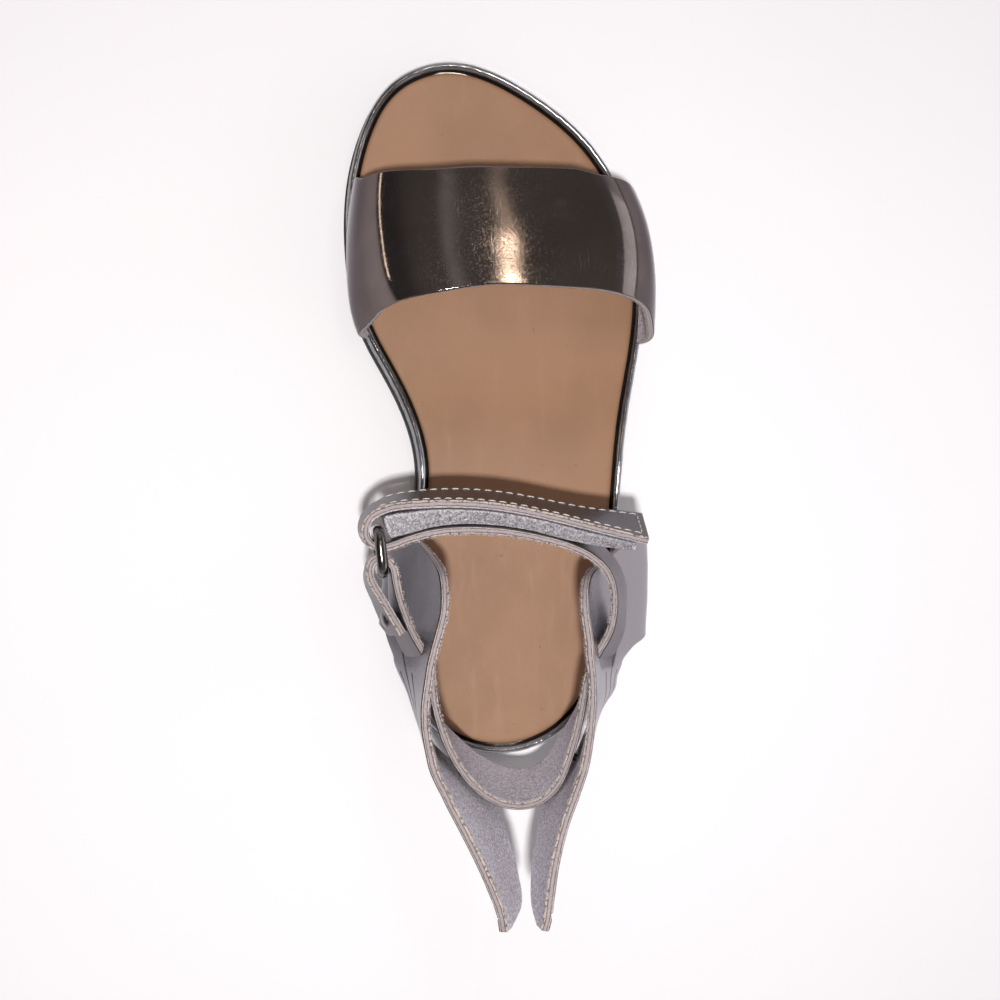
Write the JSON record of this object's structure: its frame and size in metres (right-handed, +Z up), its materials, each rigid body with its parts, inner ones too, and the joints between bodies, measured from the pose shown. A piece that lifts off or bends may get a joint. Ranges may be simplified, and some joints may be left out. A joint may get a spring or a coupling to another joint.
{
  "type": "baby sandal",
  "caption": "Flat leather baby sandal for the right foot: wide toe strap, scalloped wing quarters, heel and ankle strap folded through a metal ring and held by a touch fastener.",
  "frame": {"origin": "middle of the bounding box in plan, on the floor plane under the outsole", "axes": "+Y toward the toe, +X toward the little-toe side, +Z up"},
  "size_m": [0.0612, 0.159, 0.0582],
  "materials": {
    "sole_rubber": "matt black",
    "gunmetal_leather": "polished dark gunmetal",
    "tan_leather": "smooth matt tan",
    "pewter_leather": "metallic pewter outside, suede inside",
    "pad_fabric": "grey hook and loop pile",
    "dark_metal": "gunmetal plated"
  },
  "bodies": {
    "root": {"outsole": "sole_rubber", "footbed": "gunmetal_leather", "insole": "tan_leather", "front_strap": "gunmetal_leather", "wing_medial": "pewter_leather", "wing_lateral": "pewter_leather", "ankle_strap": "pewter_leather", "fastener_pad": "pad_fabric", "ring": "dark_metal", "rivet_tab": "dark_metal", "rivet_heel_medial": "dark_metal", "rivet_heel_lateral": "dark_metal"}
  },
  "joints": []
}
